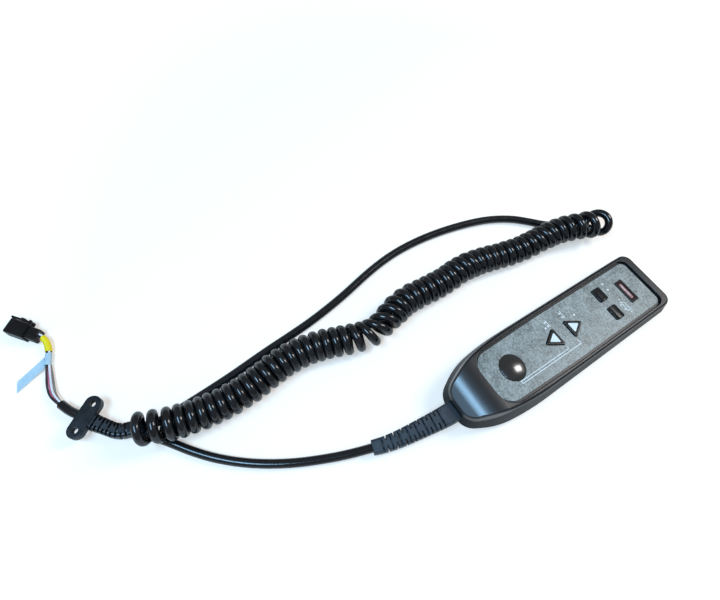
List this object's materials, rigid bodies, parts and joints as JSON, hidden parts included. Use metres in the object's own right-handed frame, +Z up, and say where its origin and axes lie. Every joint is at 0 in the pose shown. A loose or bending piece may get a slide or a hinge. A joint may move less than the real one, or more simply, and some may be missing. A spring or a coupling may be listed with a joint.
{
  "type": "pendant control station",
  "caption": "Wired hand control with a recessed face, push keys and a small display, on a curly cord with a two-hole flange and a small wire connector.",
  "frame": {"origin": "under the middle of the handset's housing, on the surface that it lies on", "axes": "+X across the housing to the right of the keys, +Y along it from the cord's end to the display's end, +Z up out of the keys' face"},
  "size_m": [0.2567, 0.452, 0.0302],
  "materials": {
    "housing_black": "satin",
    "seal_black": "matte",
    "faceplate_grey": "matte",
    "bezel_black": "gloss",
    "display_red": "gloss",
    "key_black": "gloss",
    "inlay_white": "matte",
    "dome_rubber": "matte",
    "window_clear": "gloss",
    "board_green": "satin",
    "component_black": "matte",
    "header_white": "matte",
    "screw_steel": "satin",
    "clamp_black": "matte",
    "relief_grey": "satin",
    "cord_black": "gloss",
    "flange_black": "satin",
    "wire_black": "satin",
    "wire_red": "satin",
    "wire_white": "satin",
    "wire_grey": "satin",
    "sleeve_yellow": "satin",
    "label_blue": "paper",
    "plug_black": "satin",
    "seal_orange": "matte",
    "contact_brass": "satin"
  },
  "bodies": {
    "housing": {"front_cover": "housing_black", "rear_cover": "housing_black", "housing_seal": "seal_black", "faceplate": "faceplate_grey", "display_bezel": "bezel_black", "display_lens": "display_red", "display_module": "component_black", "status_windows": "window_clear", "status_leds": "component_black", "circuit_board": "board_green", "switch_bodies": "component_black", "controller_chip": "component_black", "board_parts": "component_black", "board_screws": "screw_steel", "housing_screws": "screw_steel", "cord_entry": "cord_black", "board_header": "header_white", "header_plug": "header_white", "cord_cores": "wire_red", "cord_clamp": "clamp_black", "clamp_screws": "screw_steel", "handset_strain_relief": "relief_grey", "handset_lead": "cord_black", "coiled_cord": "cord_black", "return_lead": "cord_black", "flange_strain_relief": "relief_grey", "mounting_flange": "flange_black", "jacket_end": "cord_black", "wire_black": "wire_black", "wire_red": "wire_red", "wire_white": "wire_white", "wire_grey": "wire_grey", "yellow_sleeve": "sleeve_yellow", "label_flag": "label_blue", "connector_housing": "plug_black", "connector_seal": "seal_orange", "terminal_lock": "seal_orange", "contact_terminals": "contact_brass", "stop_dome": "dome_rubber", "lower_dome": "dome_rubber", "raise_dome": "dome_rubber", "axle_dome": "dome_rubber", "height_dome": "dome_rubber"},
    "stop_key": {"stop_button": "key_black", "stop_plunger": "inlay_white"},
    "lower_key": {"lower_button": "key_black", "lower_plunger": "inlay_white", "lower_inlay": "inlay_white"},
    "raise_key": {"raise_button": "key_black", "raise_plunger": "inlay_white", "raise_inlay": "inlay_white"},
    "axle_key": {"axle_button": "key_black", "axle_plunger": "inlay_white"},
    "height_key": {"height_button": "key_black", "height_plunger": "inlay_white"},
    "latch": {"connector_latch": "plug_black"}
  },
  "joints": [
    {"name": "stop_press", "type": "slide", "parent": "housing", "child": "stop_key", "axis": [0, -0.0515, -0.9987], "range_m": [0, 0.001], "stiffness_N_per_m": 1500, "deforming": ["stop_dome"]},
    {"name": "lower_press", "type": "slide", "parent": "housing", "child": "lower_key", "axis": [0, -0.0515, -0.9987], "range_m": [0, 0.001], "stiffness_N_per_m": 1500, "deforming": ["lower_dome"]},
    {"name": "raise_press", "type": "slide", "parent": "housing", "child": "raise_key", "axis": [0, -0.0515, -0.9987], "range_m": [0, 0.001], "stiffness_N_per_m": 1500, "deforming": ["raise_dome"]},
    {"name": "axle_press", "type": "slide", "parent": "housing", "child": "axle_key", "axis": [0, -0.0515, -0.9987], "range_m": [0, 0.001], "stiffness_N_per_m": 1500, "deforming": ["axle_dome"]},
    {"name": "height_press", "type": "slide", "parent": "housing", "child": "height_key", "axis": [0, -0.0515, -0.9987], "range_m": [0, 0.001], "stiffness_N_per_m": 1500, "deforming": ["height_dome"]},
    {"name": "latch_press", "type": "hinge", "parent": "housing", "child": "latch", "pos_m": [-0.21591, -0.31063, 0.005], "axis": [0, 0, 1], "range_deg": [0, 3.5], "stiffness_Nm_per_rad": 0.2}
  ]
}
